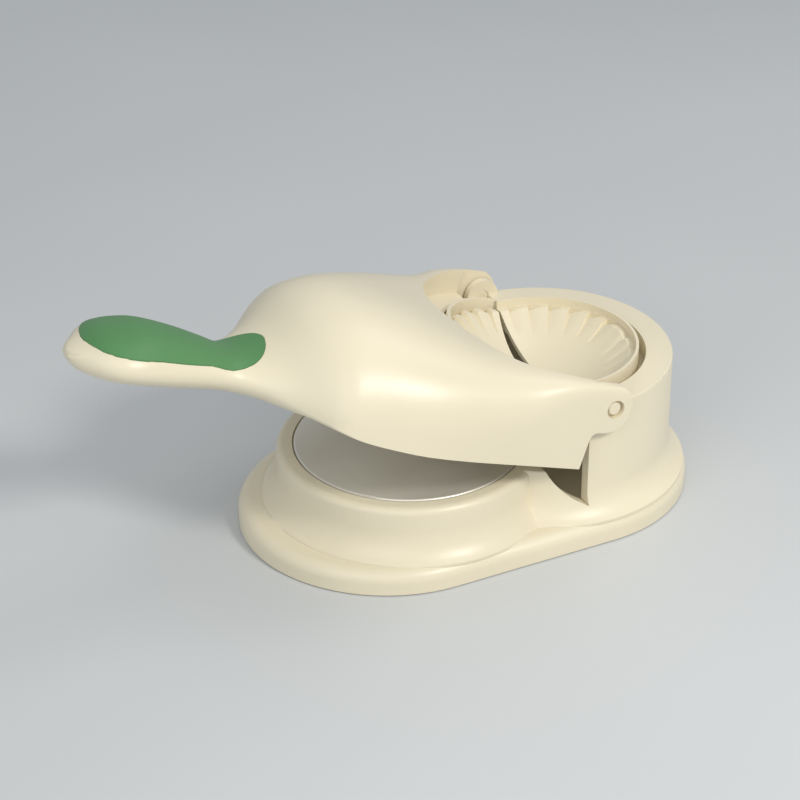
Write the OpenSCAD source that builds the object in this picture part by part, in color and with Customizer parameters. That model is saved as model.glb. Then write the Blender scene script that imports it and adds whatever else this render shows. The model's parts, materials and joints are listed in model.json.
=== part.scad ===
// Two-in-one empanada press. A hinged lever flattens dough between two round press faces
// in front of its pivot, and folds one half-mould over the other behind it.
// X runs from the handle to the tower, Y across the press and Z up. The origin is the
// middle of the foot, on the table.

/* [Base] */
// Distance between the centres of the two round ends of the base
base_spread = 69.5; // [68:0.5:72]
// Radius of the round ends of the base
base_r = 58.5; // [58:0.5:62]
// Height of the flat top of the base flange
flange_z = 10; // [9:0.5:11]
// Rounding of the flange's upper edge
flange_round = 5; // [3:0.5:6]
// Wall thickness of the base moulding
base_wall = 3; // [2.4:0.2:3]
// Radius of the concave sweep at the foot of the platform and the tower
sweep_r = 14; // [12:0.5:14]

/* [Pressing platform] */
// Place of the platform's centre in front of the origin
platform_x = -25.2; // [-26:0.2:-24.5]
// Outer radius of the platform
platform_r = 51.8; // [51:0.1:52]
// Height of the platform's rim
platform_z = 31.2; // [30.5:0.1:31.2]
// Radius of the lower press plate
plate_r = 45; // [43:0.5:45.5]

/* [Tower] */
// Place of the tower's centre and of the lever's pivot behind the origin
tower_x = 34.2; // [34:0.1:34.6]
// Outer radius of the tower
tower_r = 51.4; // [51:0.1:51.5]
// Height of the tower's flat top
tower_z = 57.5; // [57.3:0.1:57.6]
// Radius of the round well in the tower's top
well_r = 40.9; // [40.8:0.1:41.2]
// How far the tower's flat front lies ahead of the pivot
tower_front = 8.2; // [7.5:0.1:8.5]

/* [Lever] */
// Height of the pivot axis
pivot_z = 57.4; // [57.3:0.1:57.5]
// How far the lever stands open, measured from pressed flat
open_angle = 19.4; // [0:0.1:45]
// Wall thickness of the lever moulding
lever_wall = 2.4; // [2:0.1:2.8]
// Radius of the round recess that the tower's rim enters when the mould is folded
recess_r = 52.2; // [52:0.1:52.6]
// Radius of the hole in the recess for the front half-mould
recess_hole_r = 41.3; // [41.2:0.1:42]
// Gap left for the dough between the pressing faces
dough_gap = 1; // [0.6:0.1:1.5]

/* [Moulds] */
// Outer radius of the rear half-mould's raised rim
mould_r = 38; // [37.8:0.1:38.1]
// Depth of the filling pocket at the fold
pocket_depth = 14; // [12:0.5:14.5]
// Radius of the filling pocket at the fold
pocket_r = 34.4; // [33:0.2:34.6]
// Number of crimping steps round each half-mould
crimps = 13; // [11:1:15]

/* [Hidden] */
$fn = 64;

cream = [0.965, 0.910, 0.785];
leaf_green = [0.345, 0.580, 0.345];
steel = [0.72, 0.72, 0.70];
rubber = [0.30, 0.30, 0.29];
over = 1;                                  // how far a cutter runs past a face

// Base and platform
foot_h = 0.5;                              // the foot ring stands this far below the base
foot_groove = 1;                           // depth of the foot ring's groove
foot_outer_r = 54;
foot_inner_r = 49;
cover_gap = 0.3;
cover_z = 3.1;                             // top of the bottom cover
cover_r = base_r - base_wall - cover_gap;
deck_t = 3;                                // thickness of the platform's deck
rim_round = 3;
plate_t = 2.2;
plate_seat = 1.8;                          // the plate stands 0.4 proud of its seat
plate_gap = 0.6;
plate_screw_ring = 30;
plate_top = platform_z - plate_seat + plate_t;

// Tower
tower_wall = 4.4;
tower_floor_z = 12;
apron_cut_r = 34;                          // hollow that runs down from platform to floor
apron_cut_x = 41;
apron_cut_z = 45.5;
rim_t = 3.2;
shelf_z = 49.8;                            // top of the shelf that carries the rear mould
shelf_t = 2.6;
shelf_in = 33;
mould_relief = 42;                         // half-width left free ahead of the pivot
lug_r = 7;
lug_in = 48.4;
lug_sunk = 0.2;                            // the lug's outer face lies inside the tower's wall

// Pivot
pin_r = 2.65;
pin_fit = 0.05;                            // radial running clearance of the pin
pin_seat_r = 3.7;                          // round recess round the pin's end
pin_seat_t = 2.4;
pin_sunk = 0.7;
ear_in = 52.2;
ear_out = 55.6;
ear_r = 9.9;
ear_x = 2.5;
ear_h = -0.3;
ear_fillet = 3.5;
ear_root = 22;                             // thick part of the skirt next to the ears
ear_back = -9;

// Lever
skirt_h = -25.9;                           // lower edge of the skirt below the pivot
skirt_back = 7.2;
floor_h = -0.6;                            // recess floor, just under the pivot's plane
floor_t = 2.4;
floor_back = 11;
press_u = tower_x - platform_x;            // press centre ahead of the pivot
disc_r = 44.5;
disc_t = 2.8;
disc_round = 0.8;
disc_h = plate_top + dough_gap - pivot_z;
liner_t = 2.2;
liner_r = 52.4;
liner_back = 10;
liner_top = disc_h + disc_t + liner_t;
boss_r = 3.4;
boss_sunk = 0.8;                           // a boss ends this far inside the wall over it
liner_bosses = [[94, 33.5], [94, -33.5], [62, 48.2], [62, -48.2], [30, 39], [30, -39]];
disc_ring = 28;
handle_bosses = [142, 180];
cup_back_h = 5.7;                          // height of the recess wall at its rear ends
cup_slope = 5;
slot_front = 190;
slot_back = 130;
slot_half = 8;
slot_play = 0.2;
slot_seat = -24.5;
cover_seat = 1.2;
grip_depth = 1.4;
grip_proud = 0.25;
grip_gap = 0.15;
over_grip = 4;                             // how far the grip's cutter stands above the handle
liner_bite = 5;                            // how deep the screws go into their bosses
disc_bite = 1.6;
handle_bite = 7;

// Moulds
mould_top = -0.3;                          // highest face of the crimping edge
wall_t = 2;
rear_rim_h = 3;                            // the rear mould's raised rim
rear_rim_t = 1.1;
rim_h = 2.8;                               // the front mould's raised rim
rim_in = 38.8;
rim_out = 40.2;
groove_in = 36.5;                          // groove in front that takes the rear rim
groove_h = -3.4;
fold_gap = 0.3;                            // each half stops this far from the fold
crimp_in = 23;
crimp_cut = 2.5;                           // depth of the crimping steps at their outer end
crimp_play = 0.3;                          // the cutter starts this far above the surface
crimp_shares = [0.02, 0.4, 0.75, 0.98];    // where each step is drawn, as shares of its width
pocket_ball = (pocket_r * pocket_r + pocket_depth * pocket_depth) / (2 * pocket_depth);
pocket_edge = sqrt(pocket_ball * pocket_ball - pow(pocket_ball - pocket_depth - mould_top, 2));
crimp_top = 6;
mould_bite = 4.5;                          // how deep the screws go into the rear mould
tab_bite = 6;                              // and into the bosses over the front mould's tabs
tab_h = -13;
tab_t = 2;
tab_len = 10;
tab_w = 9;
tab_ring = 45.6;
tab_angles = [-33, 0, 33];
mould_foot_t = pivot_z - shelf_z;

// Screws
screw_r = 1.3;
screw_pilot = 1.35;
head_r = 2.6;
head_t = 1.5;

// Stations along the lever, ahead of its pivot: distance, half-width, crest height, height
// of the widest line, depth below that line, and squareness of the section.
stations = [
    [7.2, 55.6, 9.6, -25.9, 0, 30],
    [20, 55.8, 9.6, -25.9, 0, 16],
    [32, 55.9, 9.1, -25.9, 0, 7],
    [45, 56, 9.7, -25.9, 0, 4.6],
    [60, 55.8, 12.2, -25.9, 0, 3.3],
    [76, 54.4, 14.2, -25.9, 0, 2.6],
    [90, 51, 14.7, -25.5, 0.7, 2.3],
    [100, 47.6, 13.8, -24.9, 1.5, 2.15],
    [108, 45, 10.6, -23, 3.1, 2.05],
    [115, 36.8, 5.3, -21.7, 5.1, 2],
    [121, 28.9, -3, -21, 7, 2],
    [129, 20.6, -10.3, -19.9, 8, 2],
    [138, 14.6, -13.1, -19.9, 8.1, 2],
    [148, 14.7, -10.8, -19.5, 8.3, 2],
    [160, 17.4, -8.3, -18.8, 8.9, 2],
    [175, 20, -6.8, -18.2, 9.1, 2],
    [186, 19.5, -9, -18.4, 8.7, 2],
    [193, 15.1, -11.2, -19.2, 7.2, 2],
    [198, 8.9, -15.5, -20.2, 5.1, 2],
    [201, 5.4, -18.3, -20.6, 3, 2],
    [202.4, 0.9, -19.6, -20.6, 0.4, 2]];
last = len(stations) - 1;
outer_n = 48;                              // points round each outer and each inner section
inner_n = 32;

// The grip's outline seen from above: distance ahead of the pivot, half-width
grip_line = [[125, 1], [125.4, 3.2], [126.2, 5.8], [127.6, 8.2], [129.6, 10.2], [132.6, 11.5],
    [137.5, 12.1], [143.5, 12.5], [150, 13.1], [157, 14.9], [166.5, 16.8], [175.5, 17.9],
    [182, 17.8], [187.6, 16], [191.6, 13], [194.4, 9.2], [196.2, 4.6], [196.8, 1.4]];
grip_steps = 12;

// The cover under the handle, as stations ahead of the pivot
cover_n = 9;
cover_len = slot_front - slot_back - 2 * slot_play;
cover_us = [for (i = [0:cover_n]) slot_back + slot_play + i * cover_len / cover_n];
cover_steps = 6;

// ---- Smooth values between the stations ----

function knot(u, i = 0) = i >= last - 1 || stations[i + 1][0] > u ? i : knot(u, i + 1);

function slope(i, k) =
    let (a = max(i - 1, 0), b = min(i + 1, last))
    (stations[b][k] - stations[a][k]) / (stations[b][0] - stations[a][0]);

function value(far_u, k) =
    let (u = max(far_u, stations[0][0]),
        i = knot(u),
        step = stations[i + 1][0] - stations[i][0],
        t = (u - stations[i][0]) / step,
        near = (2 * t * t * t - 3 * t * t + 1) * stations[i][k],
        leave = (t * t * t - 2 * t * t + t) * step * slope(i, k),
        far = (3 * t * t - 2 * t * t * t) * stations[i + 1][k],
        enter = (t * t * t - t * t) * step * slope(i + 1, k))
    near + leave + far + enter;

function signed_power(v, p) = abs(v) < 0.001 ? 0 : sign(v) * pow(abs(v), p);

// Height of the lever's upper surface, drawn in by inset, and of its lower surface
function arch(u, y, inset = 0) =
    pow(max(1 - pow(abs(y) / (value(u, 1) - inset), value(u, 5)), 0.001), 1 / value(u, 5));
function roof(u, y, inset = 0) =
    value(u, 3) + (value(u, 2) - inset - value(u, 3)) * arch(u, y, inset);
function belly(u, y) = value(u, 3) - value(u, 4) * arch(u, y);

// One section of the lever, drawn in by inset. Where the lever is an open shell, the inner
// section runs out below its lower edge.
function section(u, inset, low_open, n) =
    let (w = max(value(u, 1) - inset, 0.2),
        shut = low_open ? min(max((u - 112) / 12, 0), 1) : 1,
        mid = value(u, 3) - 1.5 * (1 - shut),
        up = max(value(u, 2) - inset - mid, 0.2),
        down = max(shut * (value(u, 4) - inset) + (1 - shut) * (value(u, 4) + 2), 0),
        p = 2 / value(u, 5))
    [for (k = [0:n - 1])
        let (a = 360 * k / n, s = sin(a), c = cos(a))
        [-u, w * signed_power(c, p), mid + (s > 0 ? up : down) * signed_power(s, p)]];

function middle(ring, i = 0) =
    i == len(ring) - 1 ? ring[i] / len(ring) : ring[i] / len(ring) + middle(ring, i + 1);

// Point on the grip's outline at a place t between its listed points
function outline(t) =
    let (end = len(grip_line) - 1,
        i = min(floor(t), end - 1),
        s = t - i,
        a = grip_line[max(i - 1, 0)],
        b = grip_line[i],
        c = grip_line[i + 1],
        d = grip_line[min(i + 2, end)])
    b + s * (c - a) / 2 + s * s * (2 * a - 5 * b + 4 * c - d) / 2
        + s * s * s * (3 * b - 3 * c + d - a) / 2;

// Closed solid over rings of points that all have the same number of points
module skin(rings) {
    n = len(rings[0]);
    count = len(rings);
    points = concat([for (ring = rings) each ring], [middle(rings[0]), middle(rings[count - 1])]);
    sides = [for (i = [0:count - 2]) for (k = [0:n - 1])
        let (a = i * n + k, b = i * n + (k + 1) % n)
        each [[a, b, b + n], [a, b + n, a + n]]];
    start = [for (k = [0:n - 1]) [count * n, (k + 1) % n, k]];
    to = (count - 1) * n;
    end = [for (k = [0:n - 1]) [count * n + 1, to + k, to + (k + 1) % n]];
    polyhedron(points, concat(sides, start, end));
}

// Solid through the lever's sections at the given distances
module loft(us, n, inset = 0, low_open = false) {
    skin([for (u = us) section(u, inset, low_open, n)]);
}

// Sheet under the lever's upper surface over the grip's outline, widened by grow
module grip_sheet(top, bottom, grow) {
    end = len(grip_line) - 1;
    skin([for (t = [0:0.5:end])
        let (spot = outline(t),
            half = spot[1] + grow,
            u = spot[0] + (t == 0 ? -grow : t == end ? grow : 0),
            ys = [for (j = [0:grip_steps]) half * (1 - 2 * j / grip_steps)])
        concat([for (y = ys) [-u, y, roof(u, y) + top]],
            [for (j = [grip_steps:-1:0]) [-u, ys[j], roof(u, ys[j], bottom)]])]);
}

outer_us = concat([ear_back, 7.2, 14, 20, 26], [for (u = [32:6:92]) u], [for (u = [96:4:152]) u],
    [for (u = [157:5:187]) u], [191, 194.5, 197.5, 199.8, 201.4, 202.4]);
inner_us = concat([ear_root - 0.6, 26], [for (u = [38:12:98]) u], [for (u = [104:6:134]) u],
    [143, 155, 168, 180, 188, 193, 195.5]);

// ---- Shapes used by several pieces ----

// Flat two-dimensional stadium
module stadium(r) {
    square([base_spread, 2 * r], center = true);
    for (side = [-1, 1]) translate([side * base_spread / 2, 0]) circle(r);
}

// Half of a wall's profile: straight side, then a rounded upper corner
module rounded_profile(r, z0, z1, e) {
    translate([0, z0]) square([r - e, z1 - z0]);
    translate([0, z0]) square([r, z1 - e - z0]);
    translate([r - e, z1 - e]) circle(e);
}

module flange() {
    for (side = [-1, 1]) translate([side * base_spread / 2, 0, 0])
        rotate([0, 0, side * 90 - 180]) rotate_extrude(angle = 180)
            rounded_profile(base_r, foot_h, flange_z, flange_round);
    translate([-base_spread / 2, 0, 0]) rotate([90, 0, 90]) linear_extrude(base_spread) {
        rounded_profile(base_r, foot_h, flange_z, flange_round);
        mirror([1, 0]) rounded_profile(base_r, foot_h, flange_z, flange_round);
    }
}

// Profile of a round wall whose foot sweeps out onto the flange
module swept_profile(r, top, e) {
    out = base_r - platform_r - 0.3;
    rounded_profile(r, flange_z - over, top, e);
    difference() {
        translate([r - over, flange_z - over]) square([out + over, sweep_r]);
        translate([r + sweep_r, flange_z + sweep_r - 2.2]) circle(sweep_r);
        translate([r, flange_z + sweep_r - 2.2]) square([out + over, sweep_r]);
    }
}

// Everything in front of the tower's flat face
module ahead(x) { translate([x - 200, -100, -1]) cube([200, 200, 200]); }

// Puts a piece drawn about the pivot, with the lever pressed flat, into its place
module on_lever() { translate([tower_x, 0, pivot_z]) rotate([0, open_angle, 0]) children(); }

// A screw with its head down and its tip up
module screw(length) {
    cylinder(r = head_r, h = head_t);
    cylinder(r = screw_r, h = head_t + length);
}

module ring_of(r, count) {
    for (i = [0:count - 1]) rotate([0, 0, 360 * i / count]) translate([r, 0, 0]) children();
}

module arc_of(r, angles) {
    for (a = angles) rotate([0, 0, a]) translate([r, 0, 0]) children();
}

base_screw_spots = [[-60, -36], [-60, 36], [32, -44], [32, 44], [-80, 0], [80, 0]];
base_boss_top = 7.5;
base_head_z = foot_h + 0.2;
base_screw_len = 4.6;
plate_screw_z = platform_z - plate_seat - deck_t - head_t;
plate_bite = 1.2;                          // how deep the plate's screws go into it
mould_screw_angles = [-60, 0, 60];
mould_screw_ring = 36;

// ---- Base ----

// The body of the base, still solid
module base_outside() {
    flange();
    translate([platform_x, 0, 0]) rotate_extrude() swept_profile(platform_r, platform_z, rim_round);
    difference() {
        translate([tower_x, 0, 0]) rotate_extrude() swept_profile(tower_r, tower_z, 0.8);
        ahead(tower_x - tower_front);
    }
    difference() {
        translate([tower_x, 0, 0]) rotate_extrude() swept_profile(tower_r, platform_z, 0.8);
        translate([apron_cut_x, 100, apron_cut_z])
            rotate([90, 0, 0]) cylinder(r = apron_cut_r, h = 200, $fn = 96);
        translate([tower_x - tower_front, -100, 0]) cube(200);
    }
}

module base_shell() {
    color(cream) difference() {
        union() {
            difference() {
                base_outside();
                // hollow under the flange
                translate([0, 0, -over])
                    linear_extrude(flange_z - base_wall + over) stadium(base_r - base_wall);
                // hollow under the platform
                translate([platform_x, 0, 0])
                    cylinder(r = platform_r - base_wall, h = platform_z - plate_seat - deck_t);
                // seat of the press plate
                translate([platform_x, 0, platform_z - plate_seat])
                    cylinder(r = plate_r + plate_gap, h = 10);
                tower_hollow();
            }
            base_bosses();
            tower_well();
            tower_lugs();
        }
        base_holes();
    }
}

// Room inside the tower, open at its front
module tower_hollow() {
    difference() {
        translate([tower_x, 0, tower_floor_z])
            cylinder(r = tower_r - tower_wall, h = tower_z - rim_t - tower_floor_z);
        translate([platform_x, 0, 0]) cylinder(r = platform_r, h = platform_z);
    }
    translate([tower_x, 0, tower_z - rim_t - over]) cylinder(r = well_r, h = 20);
    translate([tower_x - tower_front - over, -mould_relief, platform_z])
        cube([tower_front + over, 2 * mould_relief, 60]);
}

// Wall and shelf that carry the rear half-mould
module tower_well() {
    difference() {
        translate([tower_x, 0, shelf_z - shelf_t])
            cylinder(r = tower_r - 2, h = tower_z - 0.5 - shelf_z + shelf_t);
        translate([tower_x, 0, shelf_z]) cylinder(r = well_r, h = 30);
        translate([tower_x, 0, shelf_z - shelf_t - over]) cylinder(r = shelf_in, h = 30);
        translate([tower_x - 200, -100, 0]) cube([200 + fold_gap, 200, 200]);
    }
}

module tower_lugs() {
    lug_t = tower_r - lug_sunk - lug_in;
    for (side = [-1, 1]) translate([tower_x, side * (lug_in + lug_t / 2), pivot_z])
        rotate([90, 0, 0]) cylinder(r = lug_r, h = lug_t, center = true);
}

module base_bosses() {
    for (spot = base_screw_spots) translate([spot[0], spot[1], cover_z])
        cylinder(r = boss_r, h = base_boss_top - cover_z);
}

module base_holes() {
    for (spot = base_screw_spots) translate([spot[0], spot[1], 0])
        cylinder(r = screw_pilot, h = base_boss_top);
    translate([platform_x, 0, 0]) ring_of(plate_screw_ring, 3)
        cylinder(r = screw_pilot, h = platform_z);
    translate([tower_x, 0, shelf_z - shelf_t - over]) arc_of(mould_screw_ring, mould_screw_angles)
        cylinder(r = screw_pilot, h = shelf_t + 2 * over);
    translate([tower_x, 0, pivot_z]) rotate([90, 0, 0]) cylinder(r = pin_r, h = 3 * tower_r, center = true);
}

module bottom_cover() {
    color(cream) difference() {
        translate([0, 0, foot_h]) linear_extrude(cover_z - foot_h) stadium(cover_r);
        translate([0, 0, foot_h - over]) linear_extrude(foot_groove + over) difference() {
            stadium(foot_outer_r);
            stadium(foot_inner_r);
        }
        for (spot = base_screw_spots) translate([spot[0], spot[1], 0]) {
            cylinder(r = screw_pilot, h = 10);
            cylinder(r = head_r + 0.1, h = base_head_z + head_t);
        }
    }
}

module foot_ring() {
    color(rubber) linear_extrude(foot_h + foot_groove) difference() {
        stadium(foot_outer_r);
        stadium(foot_inner_r);
    }
}

module base_screws() {
    color(steel) for (spot = base_screw_spots)
        translate([spot[0], spot[1], base_head_z]) screw(base_screw_len);
}

module press_plate() {
    color(steel) translate([platform_x, 0, platform_z - plate_seat]) difference() {
        rotate_extrude() rounded_profile(plate_r, 0, plate_t, disc_round);
        ring_of(plate_screw_ring, 3) translate([0, 0, -over])
            cylinder(r = screw_pilot, h = over + plate_bite + 0.2);
    }
}

module plate_screws() {
    color(steel) translate([platform_x, 0, plate_screw_z])
        ring_of(plate_screw_ring, 3) screw(deck_t + plate_bite);
}

// ---- Half-moulds ----

// Height of the pocket's surface, at most the crimping edge's, at a distance from its middle
function pocket_h(r) =
    r > pocket_edge ? mould_top
        : pocket_ball - pocket_depth - sqrt(pocket_ball * pocket_ball - r * r);

// Profile of a half-mould about the fold's middle: pocket, crimping edge and foot
module mould_profile(edge_r, foot_r, foot_top) {
    difference() {
        union() {
            translate([0, -mould_foot_t]) square([edge_r, mould_foot_t + mould_top]);
            translate([0, -mould_foot_t]) square([foot_r, mould_foot_t + foot_top]);
            intersection() {
                translate([0, pocket_ball - pocket_depth]) circle(pocket_ball + wall_t, $fn = 128);
                translate([0, -pocket_depth - 5]) square([pocket_r - 1, pocket_depth + 5]);
            }
        }
        translate([0, pocket_ball - pocket_depth]) circle(pocket_ball, $fn = 128);
    }
}

// What is cut away so that the crimping edge falls from step to step towards the fold.
// The steps are mirrored about the middle; drop runs from 0 at a step's top to 1 at its foot.
module crimp_cutter(out) {
    rs = [crimp_in, 26.5, 30, pocket_edge, out];
    half = [for (k = [0:floor(crimps / 2)]) for (s = crimp_shares) [(k + s) * 180 / crimps, s * s]];
    spots = concat([for (i = [len(half) - 1:-1:0]) [-half[i][0], half[i][1]]], half);
    skin([for (spot = spots)
        let (c = cos(spot[0]), s = sin(spot[0]), drop = spot[1])
        concat([for (r = rs)
                let (cut = crimp_cut * (r - crimp_in) / (groove_in - crimp_in) - 0.2)
                [r * c, r * s, pocket_h(r) + crimp_play - (cut + crimp_play) * drop]],
            [for (r = [out, crimp_in]) [r * c, r * s, crimp_top]])]);
}

module half_space_behind() { translate([fold_gap, -60, -60]) cube([120, 120, 120]); }

module rear_mould() {
    rim = mould_r - rear_rim_t;
    color(cream) translate([tower_x, 0, pivot_z]) difference() {
        intersection() {
            rotate_extrude() {
                mould_profile(mould_r, mould_r, mould_top);
                translate([rim, -mould_foot_t]) square([rear_rim_t, mould_foot_t + rear_rim_h]);
            }
            half_space_behind();
        }
        crimp_cutter(rim - 0.3);
        translate([0, 0, -mould_foot_t - over]) arc_of(mould_screw_ring, mould_screw_angles)
            cylinder(r = screw_pilot, h = mould_bite + 0.5 + over);
    }
}

module rear_mould_screws() {
    color(steel) translate([tower_x, 0, shelf_z - shelf_t - head_t])
        arc_of(mould_screw_ring, mould_screw_angles) screw(shelf_t + mould_bite);
}

module front_mould() {
    color(cream) on_lever() rotate([0, 0, 180]) difference() {
        union() {
            intersection() {
                rotate_extrude() {
                    mould_profile(groove_in, rim_out, groove_h);
                    translate([rim_in, tab_h]) square([rim_out - rim_in, rim_h - tab_h]);
                }
                half_space_behind();
            }
            arc_of(rim_in, tab_angles) translate([0, -tab_w / 2, tab_h]) cube([tab_len, tab_w, tab_t]);
        }
        crimp_cutter(groove_in + 1);
        translate([0, 0, tab_h - over]) arc_of(tab_ring, tab_angles)
            cylinder(r = screw_pilot, h = tab_t + 2 * over);
    }
}

module front_mould_screws() {
    color(steel) on_lever() translate([0, 0, tab_h - head_t])
        rotate([0, 0, 180]) arc_of(tab_ring, tab_angles) screw(tab_t + tab_bite);
}

// ---- Pivot ----

module pivot_pin(side) {
    color(cream) translate([tower_x, side * (lug_in + ear_out - pin_sunk) / 2, pivot_z])
        rotate([90, 0, 0]) cylinder(r = pin_r, h = ear_out - pin_sunk - lug_in, center = true);
}

module pivot_pin_near() { pivot_pin(-1); }

module pivot_pin_far() { pivot_pin(1); }

// ---- Lever ----

// Side view of what is cut away behind the ears and the skirt; distances ahead of the pivot
module behind_ears() {
    difference() {
        translate([-40, -70]) square([40 + skirt_back, 100]);
        translate([ear_x, ear_h]) circle(ear_r);
        translate([ear_x, ear_h - ear_r]) square([skirt_back, 60]);
        difference() {
            translate([skirt_back - ear_fillet, ear_h - ear_r - ear_fillet]) square(ear_fillet + 1);
            translate([skirt_back - ear_fillet, ear_h - ear_r - ear_fillet]) circle(ear_fillet, $fn = 32);
        }
    }
}

// Half-space ahead of the pivot by u or more
module beyond(u) { translate([-u - 300, -100, -100]) cube([300, 200, 200]); }

// Wall and floor of the round recess; the wall's top slopes so that it ends in the roof
module recess_cup() {
    difference() {
        translate([0, 0, floor_h - floor_t]) cylinder(r = recess_r + lever_wall, h = 20);
        translate([0, 0, floor_h]) cylinder(r = recess_r, h = 60);
        translate([-floor_back, 0, cup_back_h])
            rotate([0, cup_slope, 0]) translate([-150, -100, 0]) cube([300, 200, 60]);
        translate([-floor_back, -100, -50]) cube([200, 200, 100]);
    }
}

function boss_top(b) =
    norm(b) < recess_r ? floor_h - boss_sunk - 0.2 : roof(b[0] + boss_r, abs(b[1]) + boss_r) - boss_sunk;

// Bosses that hang under the roof and under the recess floor
module lever_bosses() {
    for (b = liner_bosses) translate([-b[0], b[1], liner_top])
        cylinder(r = boss_r, h = boss_top(b) - liner_top);
    translate([0, 0, tab_h + tab_t]) rotate([0, 0, 180]) arc_of(tab_ring, tab_angles)
        cylinder(r = boss_r, h = floor_h - boss_sunk - tab_h - tab_t);
    for (u = handle_bosses) translate([-u, 0, slot_seat])
        cylinder(r = boss_r, h = roof(u, boss_r) - boss_sunk - slot_seat);
}

module lever_cutters() {
    // recess for the tower's rim, and the hole for the front half-mould
    translate([0, 0, floor_h]) cylinder(r = recess_r, h = 60);
    translate([0, 0, -6]) cylinder(r = recess_hole_r, h = 60);
    // room for the tower between the ears
    translate([-floor_back, -ear_in, -60]) cube([60, 2 * ear_in, 120]);
    // pivot bores and the round seats of the pins' ends
    rotate([90, 0, 0]) cylinder(r = pin_r + pin_fit, h = 130, center = true);
    for (side = [-1, 1]) translate([0, side * (ear_out + 5 - pin_seat_t), 0]) rotate([90, 0, 0])
        cylinder(r = pin_seat_r, h = 10, center = true);
    // slot under the handle
    translate([-slot_front, -slot_half, -60])
        cube([slot_front - slot_back, 2 * slot_half, 60 + slot_seat]);
    // pilot holes
    for (b = liner_bosses) translate([-b[0], b[1], liner_top - over])
        cylinder(r = screw_pilot, h = liner_bite + 1 + over);
    translate([0, 0, tab_h]) rotate([0, 0, 180]) arc_of(tab_ring, tab_angles)
        cylinder(r = screw_pilot, h = tab_t + tab_bite + 0.5);
    for (u = handle_bosses) translate([-u, 0, slot_seat - over])
        cylinder(r = screw_pilot, h = handle_bite + 1 + over);
}

module lever_shell() {
    color(cream) on_lever() difference() {
        union() {
            difference() {
                loft(outer_us, outer_n);
                loft(inner_us, inner_n, lever_wall, true);
                rotate([90, 0, 0]) linear_extrude(130, center = true) mirror([1, 0]) behind_ears();
                translate([-ear_root, -ear_in, -60]) cube([60, 2 * ear_in, 60 + floor_h - floor_t]);
            }
            recess_cup();
            lever_bosses();
        }
        lever_cutters();
        grip_sheet(over_grip, grip_depth, grip_gap);
    }
}

module grip_inlay() {
    color(leaf_green) on_lever() grip_sheet(grip_proud, grip_depth, 0);
}

module handle_cover() {
    half = slot_half - slot_play;
    ys = [for (j = [0:cover_steps]) half * (1 - 2 * j / cover_steps)];
    color(cream) on_lever() difference() {
        skin([for (u = cover_us)
            concat([for (y = ys) [-u, y, slot_seat]],
                [for (j = [cover_steps:-1:0]) [-u, ys[j], belly(u, ys[j])]])]);
        for (u = handle_bosses) translate([-u, 0, -60]) {
            cylinder(r = screw_pilot, h = 60);
            cylinder(r = head_r + 0.2, h = 60 + slot_seat - cover_seat);
        }
    }
}

module handle_screws() {
    color(steel) on_lever() for (u = handle_bosses)
        translate([-u, 0, slot_seat - cover_seat - head_t]) screw(cover_seat + handle_bite);
}

module lever_liner() {
    color(cream) on_lever() difference() {
        intersection() {
            translate([-press_u, 0, liner_top - liner_t]) cylinder(r = liner_r, h = liner_t);
            beyond(liner_back);
        }
        for (b = liner_bosses) translate([-b[0], b[1], -60]) cylinder(r = screw_pilot, h = 60);
        translate([-press_u, 0, -60]) ring_of(disc_ring, 3) cylinder(r = screw_pilot, h = 60);
    }
}

module liner_screws() {
    color(steel) on_lever() for (b = liner_bosses)
        translate([-b[0], b[1], liner_top - liner_t - head_t]) screw(liner_t + liner_bite);
}

module upper_press_disc() {
    color(steel) on_lever() translate([-press_u, 0, disc_h]) difference() {
        translate([0, 0, disc_t]) mirror([0, 0, 1])
            rotate_extrude() rounded_profile(disc_r, 0, disc_t, disc_round);
        translate([0, 0, disc_t - disc_bite - 0.2])
            ring_of(disc_ring, 3) cylinder(r = screw_pilot, h = 10);
    }
}

module disc_screws() {
    color(steel) on_lever() translate([-press_u, 0, liner_top + head_t])
        mirror([0, 0, 1]) ring_of(disc_ring, 3) screw(liner_t + disc_bite);
}

base_shell();
bottom_cover();
foot_ring();
base_screws();
press_plate();
plate_screws();
rear_mould();
rear_mould_screws();
pivot_pin_near();
pivot_pin_far();
lever_shell();
lever_liner();
liner_screws();
upper_press_disc();
disc_screws();
front_mould();
front_mould_screws();
handle_cover();
handle_screws();
grip_inlay();
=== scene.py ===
import json
import math

import bmesh
import bpy
from mathutils import Matrix, Vector

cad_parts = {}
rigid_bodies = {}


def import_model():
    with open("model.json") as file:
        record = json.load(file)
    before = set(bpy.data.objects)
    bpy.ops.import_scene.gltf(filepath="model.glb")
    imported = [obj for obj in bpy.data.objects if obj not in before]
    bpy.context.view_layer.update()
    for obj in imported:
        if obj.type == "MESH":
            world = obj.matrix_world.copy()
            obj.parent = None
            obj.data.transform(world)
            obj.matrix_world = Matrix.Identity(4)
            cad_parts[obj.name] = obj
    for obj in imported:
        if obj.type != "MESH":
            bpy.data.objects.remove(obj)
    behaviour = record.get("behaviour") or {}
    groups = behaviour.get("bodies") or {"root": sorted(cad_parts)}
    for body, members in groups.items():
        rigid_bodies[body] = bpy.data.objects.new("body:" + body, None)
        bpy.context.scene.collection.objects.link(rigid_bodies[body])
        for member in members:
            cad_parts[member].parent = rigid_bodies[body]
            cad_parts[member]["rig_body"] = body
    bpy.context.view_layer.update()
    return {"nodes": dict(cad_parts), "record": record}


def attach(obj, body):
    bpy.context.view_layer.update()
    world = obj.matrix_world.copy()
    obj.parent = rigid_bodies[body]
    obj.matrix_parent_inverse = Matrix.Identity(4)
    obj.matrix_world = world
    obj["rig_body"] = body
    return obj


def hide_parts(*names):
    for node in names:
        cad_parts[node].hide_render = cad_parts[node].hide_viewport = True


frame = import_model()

scene = bpy.context.scene
scene.view_settings.view_transform = "Standard"

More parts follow.
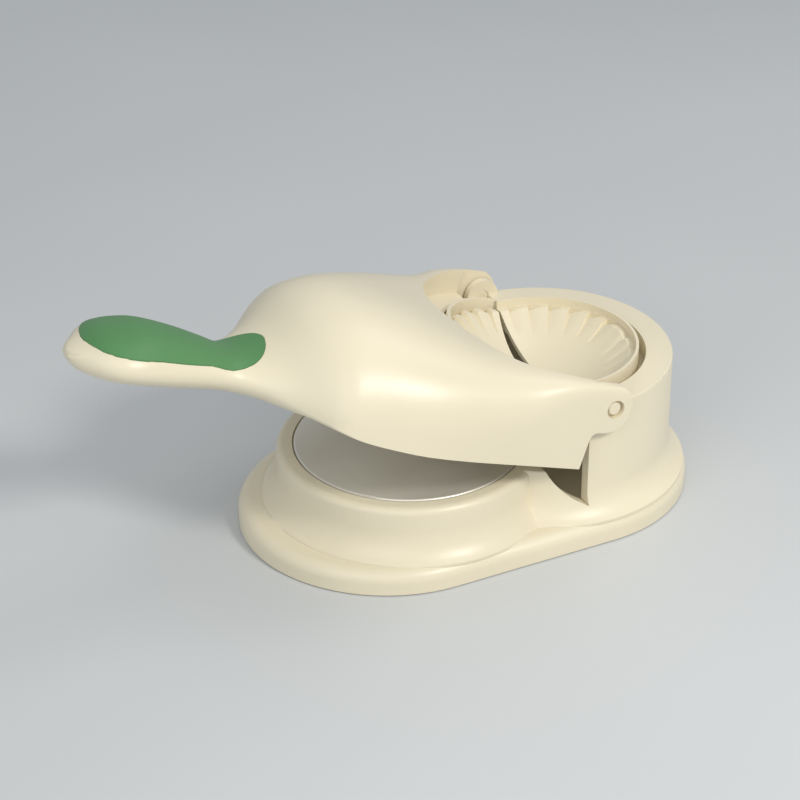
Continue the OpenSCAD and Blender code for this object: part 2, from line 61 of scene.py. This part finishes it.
# Lengths are in metres. Limits on angles are in degrees.

# ---- Materials ----

NOISE_LOW, NOISE_HIGH = 0.3, 0.7            # nearly all values of a noise texture lie between these


def new_material(name):
    """A material, with its node tree, its surface node and its texture coordinates."""
    mat = bpy.data.materials.new(name)
    mat.use_nodes = True
    tree = mat.node_tree
    return mat, tree, tree.nodes["Principled BSDF"], tree.nodes.new("ShaderNodeTexCoord")


def noise(tree, coord, scale, detail):
    """A noise over the object's own coordinates."""
    texture = tree.nodes.new("ShaderNodeTexNoise")
    texture.inputs["Scale"].default_value = scale
    texture.inputs["Detail"].default_value = detail
    tree.links.new(coord.outputs["Object"], texture.inputs["Vector"])
    return texture.outputs["Fac"]


def ring_noise(tree, coord, centre, tilt, scale, detail):
    """A noise that changes only with the distance from an axis through the centre, tilted about Y."""
    place = tree.nodes.new("ShaderNodeMapping")
    place.vector_type = "TEXTURE"
    place.inputs["Location"].default_value = centre
    place.inputs["Rotation"].default_value = (0, tilt, 0)
    tree.links.new(coord.outputs["Object"], place.inputs["Vector"])
    flat = tree.nodes.new("ShaderNodeVectorMath")
    flat.operation = "MULTIPLY"
    flat.inputs[1].default_value = (1, 1, 0)
    tree.links.new(place.outputs["Vector"], flat.inputs[0])
    distance = tree.nodes.new("ShaderNodeVectorMath")
    distance.operation = "LENGTH"
    tree.links.new(flat.outputs["Vector"], distance.inputs[0])
    texture = tree.nodes.new("ShaderNodeTexNoise")
    texture.noise_dimensions = "1D"
    texture.inputs["Scale"].default_value = scale
    texture.inputs["Detail"].default_value = detail
    tree.links.new(distance.outputs["Value"], texture.inputs["W"])
    return texture.outputs["Fac"]


def colour_by(tree, surface, value, low, high):
    """Let the base colour follow a noise from the low colour to the high one."""
    ramp = tree.nodes.new("ShaderNodeValToRGB")
    first, last = ramp.color_ramp.elements
    first.position, first.color = NOISE_LOW, (*low, 1)
    last.position, last.color = NOISE_HIGH, (*high, 1)
    tree.links.new(value, ramp.inputs["Fac"])
    tree.links.new(ramp.outputs["Color"], surface.inputs["Base Color"])


def gloss_by(tree, surface, value, low, high):
    """Let the roughness follow a noise from low to high."""
    spread = tree.nodes.new("ShaderNodeMapRange")
    spread.inputs["From Min"].default_value = NOISE_LOW
    spread.inputs["From Max"].default_value = NOISE_HIGH
    spread.inputs["To Min"].default_value = low
    spread.inputs["To Max"].default_value = high
    tree.links.new(value, spread.inputs["Value"])
    tree.links.new(spread.outputs["Result"], surface.inputs["Roughness"])


def relief_by(tree, surface, value, strength, depth):
    """Let the surface's fine relief follow a noise."""
    bump = tree.nodes.new("ShaderNodeBump")
    bump.inputs["Strength"].default_value = strength
    bump.inputs["Distance"].default_value = depth
    tree.links.new(value, bump.inputs["Height"])
    tree.links.new(bump.outputs["Normal"], surface.inputs["Normal"])


def plastic(name, low, high, rough, grain=0.05):
    """Moulded plastic: slightly uneven colour and gloss, and a very fine spark-eroded grain."""
    mat, tree, surface, coord = new_material(name)
    broad = noise(tree, coord, scale=14, detail=2)
    fine = noise(tree, coord, scale=900, detail=2)
    colour_by(tree, surface, broad, low, high)
    gloss_by(tree, surface, broad, rough - 0.03, rough + 0.03)
    relief_by(tree, surface, fine, grain, depth=0.0002)
    return mat


def metal(name, low, high, rough, centre=None, tilt=0.0):
    """Satin steel: rings of fine polishing marks about a centre, or plain grain where there is none."""
    mat, tree, surface, coord = new_material(name)
    surface.inputs["Metallic"].default_value = 0.72
    colour_by(tree, surface, noise(tree, coord, scale=30, detail=4), low, high)
    if centre:
        fine = ring_noise(tree, coord, centre, tilt, scale=1400, detail=2)
    else:
        fine = noise(tree, coord, scale=1500, detail=2)
    gloss_by(tree, surface, fine, rough - 0.05, rough + 0.06)
    relief_by(tree, surface, fine, strength=0.10, depth=0.0001)
    return mat


LEVER_ANGLE = math.radians(19.4)            # the lever's slope at rest
PLATE_CENTRE = (-0.0252, 0, 0.0316)         # of the lower pressing face
DISC_CENTRE = (-0.0298, 0, 0.0547)          # of the upper pressing face, at rest
STEEL = ((0.81, 0.78, 0.70), (0.87, 0.84, 0.76), 0.42)

CREAM = plastic("cream_plastic", (0.79, 0.715, 0.535), (0.83, 0.755, 0.57), 0.36)
GREEN = plastic("green_plastic", (0.084, 0.240, 0.084), (0.100, 0.270, 0.100), 0.46, grain=0.10)
PLATE = metal("press_plate_steel", *STEEL, PLATE_CENTRE)
DISC = metal("press_disc_steel", *STEEL, DISC_CENTRE, LEVER_ANGLE)
SCREW = metal("screw_steel", (0.40, 0.40, 0.39), (0.50, 0.49, 0.47), 0.30)
RUBBER = plastic("foot_rubber", (0.020, 0.020, 0.020), (0.035, 0.034, 0.033), 0.7, grain=0.3)

SLOT_MATERIAL = {"body_plastic": CREAM, "grip_plastic": GREEN, "press_steel": PLATE,
                 "screw_steel": SCREW, "foot_rubber": RUBBER}
OWN_MATERIAL = {"upper_press_disc": DISC}   # its rings have another centre than the plate's
SLOT_OF = {s["node"]: s["material_slot"] for s in frame["record"]["subparts"]}

# ---- Visible pieces ----

MERGE, SPECK = 2e-6, 1e-6                   # points this close are one; edges this short go
WELD = {"base_shell": 8e-5}                 # merges more there, over a hair-thin step below the coves
TIP_FROM, TIP_PASSES = -0.1605, 4           # the handle's very end in x, and how often it is smoothed
FLAT_BELOW = 1                              # facets closer in direction than this become one face

# Edges sharper than this are shaded as edges. The base has shallow valleys between its foot
# and its flange, which are shaded as curves.
SHARP_ABOVE = 30
OWN_SHARP = {"base_shell": 50}

# How wide the softened edges are, and above which angle an edge is softened
SOFT = {"base_shell": 0.0005, "lever_shell": 0.0005, "front_mould": 0.0003, "rear_mould": 0.0003,
        "pivot_pin_near": 0.0006, "pivot_pin_far": 0.0006, "press_plate": 0.0003,
        "bottom_cover": 0.0003, "foot_ring": 0.0003, "handle_cover": 0.0002}
SOFT_ABOVE = 40
SOFT_SEGMENTS = 3


def clean_up(bm, node):
    """Join the mesh's split points, and drop what has no size."""
    bmesh.ops.remove_doubles(bm, verts=bm.verts, dist=WELD.get(node, MERGE))
    bmesh.ops.dissolve_degenerate(bm, edges=bm.edges, dist=SPECK)


def round_tip(bm):
    """Round off the very end of the handle."""
    tip = [v for v in bm.verts if v.co.x < TIP_FROM]
    for _ in range(TIP_PASSES):
        bmesh.ops.smooth_vert(bm, verts=tip, factor=0.5, use_axis_x=True, use_axis_y=True,
                              use_axis_z=True)


def shade(bm, degrees):
    """Shade smooth, apart from open edges and those sharper than the angle."""
    limit = math.radians(degrees)
    for face in bm.faces:
        face.smooth = True
    for edge in bm.edges:
        edge.smooth = len(edge.link_faces) == 2 and edge.calc_face_angle(0.0) < limit


def soften(piece, width, degrees):
    """Round the edges that are sharper than the angle."""
    mod = piece.modifiers.new("soft_edges", "BEVEL")
    mod.width = width
    mod.segments = SOFT_SEGMENTS
    mod.limit_method = "ANGLE"
    mod.angle_limit = math.radians(degrees)
    mod.use_clamp_overlap = True
    mod.harden_normals = True


def dress(node):
    """Stand a smooth-shaded copy of a node's shape, with softened edges, in the node's place."""
    src = frame["nodes"][node]
    width = SOFT.get(node, 0.0)
    sharp = OWN_SHARP.get(node, SHARP_ABOVE)
    bm = bmesh.new()
    bm.from_mesh(src.data)
    clean_up(bm, node)
    if node == "lever_shell":
        round_tip(bm)
    if width:
        bmesh.ops.dissolve_limit(bm, angle_limit=math.radians(FLAT_BELOW), verts=bm.verts,
                                 edges=bm.edges)
    shade(bm, sharp)
    mesh = bpy.data.meshes.new(node + "_skin")
    bm.to_mesh(mesh)
    bm.free()
    mesh.materials.append(OWN_MATERIAL.get(node, SLOT_MATERIAL[SLOT_OF[node]]))
    piece = bpy.data.objects.new(node + "_skin", mesh)
    scene.collection.objects.link(piece)
    if width:
        soften(piece, width, max(sharp, SOFT_ABOVE))
    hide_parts(node)
    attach(piece, src["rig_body"])


for name in SLOT_OF:
    dress(name)

# ---- Floor ----

FLOOR_REACH = 6                             # from the middle to each side
CORNERS = ((-1, -1), (1, -1), (1, 1), (-1, 1))

pale, tree, surface, coord = new_material("pale_floor")
colour_by(tree, surface, noise(tree, coord, scale=3, detail=2), (0.60, 0.62, 0.63), (0.64, 0.66, 0.67))
surface.inputs["Roughness"].default_value = 0.45

floor_mesh = bpy.data.meshes.new("floor")
floor_mesh.from_pydata([(x * FLOOR_REACH, y * FLOOR_REACH, 0) for x, y in CORNERS], [], [(0, 1, 2, 3)])
floor_mesh.materials.append(pale)
floor = bpy.data.objects.new("floor", floor_mesh)
scene.collection.objects.link(floor)

# ---- Light ----

LIT = (0, 0, 0.04)                          # the middle of the press, which every lamp faces
WARM, NEARLY_WHITE = (1.0, 0.97, 0.92), (1.0, 0.99, 0.97)

world = bpy.data.worlds.new("studio")
scene.world = world
world.use_nodes = True
sky = world.node_tree.nodes["Background"]
sky.inputs["Color"].default_value = (0.84, 0.88, 0.92, 1)
sky.inputs["Strength"].default_value = 0.50


def softbox(name, place, side, power, colour):
    """A square lamp that faces the press, with its power in watts."""
    light = bpy.data.lights.new(name, "AREA")
    light.shape = "SQUARE"
    light.size = side
    light.energy = power
    light.color = colour
    lamp = bpy.data.objects.new(name, light)
    scene.collection.objects.link(lamp)
    lamp.location = place
    lamp.rotation_mode = "QUATERNION"
    lamp.rotation_quaternion = (Vector(LIT) - Vector(place)).to_track_quat("-Z", "Y")


softbox("key", (0.23, -0.80, 0.79), 0.22, 5.7, WARM)
softbox("top", (0.47, 0.04, 0.88), 0.45, 1.1, WARM)
softbox("fill", (-0.7, -0.6, 0.7), 0.9, 3.4, NEARLY_WHITE)

# ---- Camera, as the photograph's ----

AZIMUTH, ELEVATION = math.radians(-27.465), math.radians(29.925)
CAMERA_PLACE = (-0.43208, -0.77551, 0.55316)
SENSOR_MM, LENS_MM = 36, 117.52

back = Vector((math.sin(AZIMUTH) * math.cos(ELEVATION), -math.cos(AZIMUTH) * math.cos(ELEVATION),
               math.sin(ELEVATION)))
side = Vector((math.cos(AZIMUTH), math.sin(AZIMUTH), 0))
over = back.cross(side)
camera = bpy.data.objects.new("camera", bpy.data.cameras.new("camera"))
camera.data.sensor_width = SENSOR_MM
camera.data.lens = LENS_MM
camera.data.clip_start = 0.01
camera.data.clip_end = 50
camera.rotation_mode = "QUATERNION"
camera.location = CAMERA_PLACE
camera.rotation_quaternion = Matrix((side, over, back)).transposed().to_quaternion()
scene.collection.objects.link(camera)
scene.camera = camera
